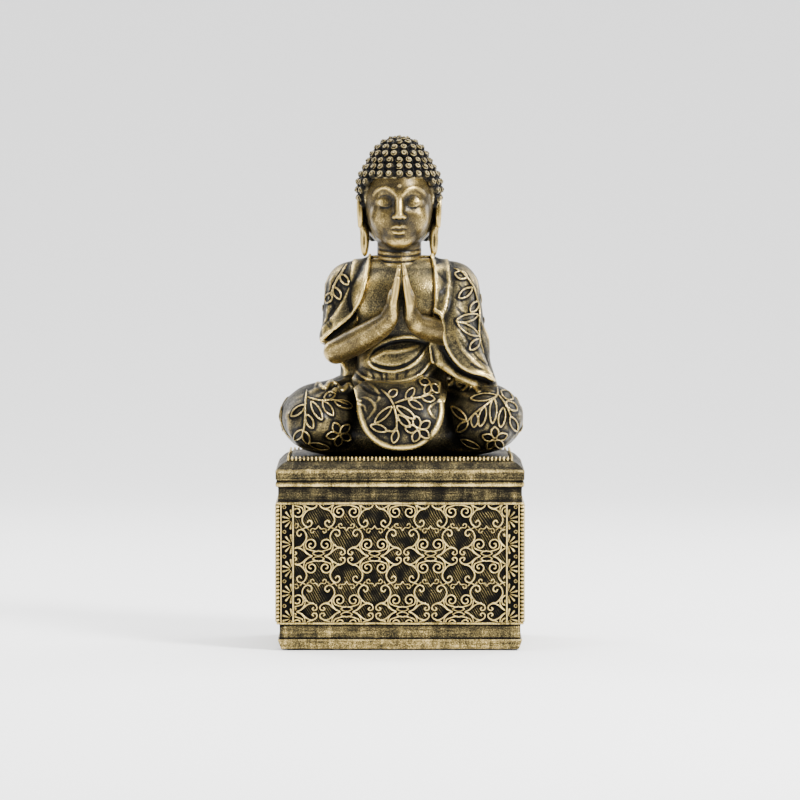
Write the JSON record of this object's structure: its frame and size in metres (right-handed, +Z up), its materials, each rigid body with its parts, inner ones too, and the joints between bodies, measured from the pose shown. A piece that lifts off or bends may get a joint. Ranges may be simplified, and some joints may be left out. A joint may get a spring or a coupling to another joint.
{
  "type": "seated figure keepsake box",
  "caption": "Rectangular keepsake box with scroll-relief walls; a seated figure with hands pressed together stands on its lift-off lid.",
  "frame": {"origin": "centre of the underside, on the surface the box stands on", "axes": "+Z up, -Y towards the front that the figure faces, +X to the viewer's right"},
  "size_m": [0.1, 0.078, 0.206],
  "materials": {
    "box": "antique bronze paint, dark with brushed gold edges",
    "relief": "antique bronze paint, dark ground with gold-rubbed relief",
    "lid": "antique bronze paint, dark with gold-rubbed edges",
    "robe": "antique bronze paint, dark folds with gold-rubbed relief",
    "skin": "antique gold paint with dark recesses",
    "hair": "antique bronze paint, dark between gold-rubbed curls",
    "felt": "black felt"
  },
  "bodies": {
    "box": {"box_body": "box", "base_felt": "felt", "panel_front": "relief", "panel_right": "relief", "panel_back": "relief", "panel_left": "relief", "border_front_left": "relief", "border_front_right": "relief", "border_right_left": "relief", "border_right_right": "relief", "border_back_left": "relief", "border_back_right": "relief", "border_left_left": "relief", "border_left_right": "relief", "corner_beads_front_left": "relief", "corner_beads_front_right": "relief", "corner_beads_back_right": "relief", "corner_beads_back_left": "relief"},
    "lid": {"lid_plate": "lid", "bead_trim": "lid", "crossed_legs": "robe", "lap_apron": "robe", "torso": "robe", "outer_robe": "robe", "right_forearm": "skin", "left_forearm": "skin", "head": "skin", "hair_cap": "hair"}
  },
  "joints": [
    {"name": "lid_lift", "type": "slide", "parent": "box", "child": "lid", "axis": [0, 0, 1], "range_m": [0, 0.06]}
  ]
}
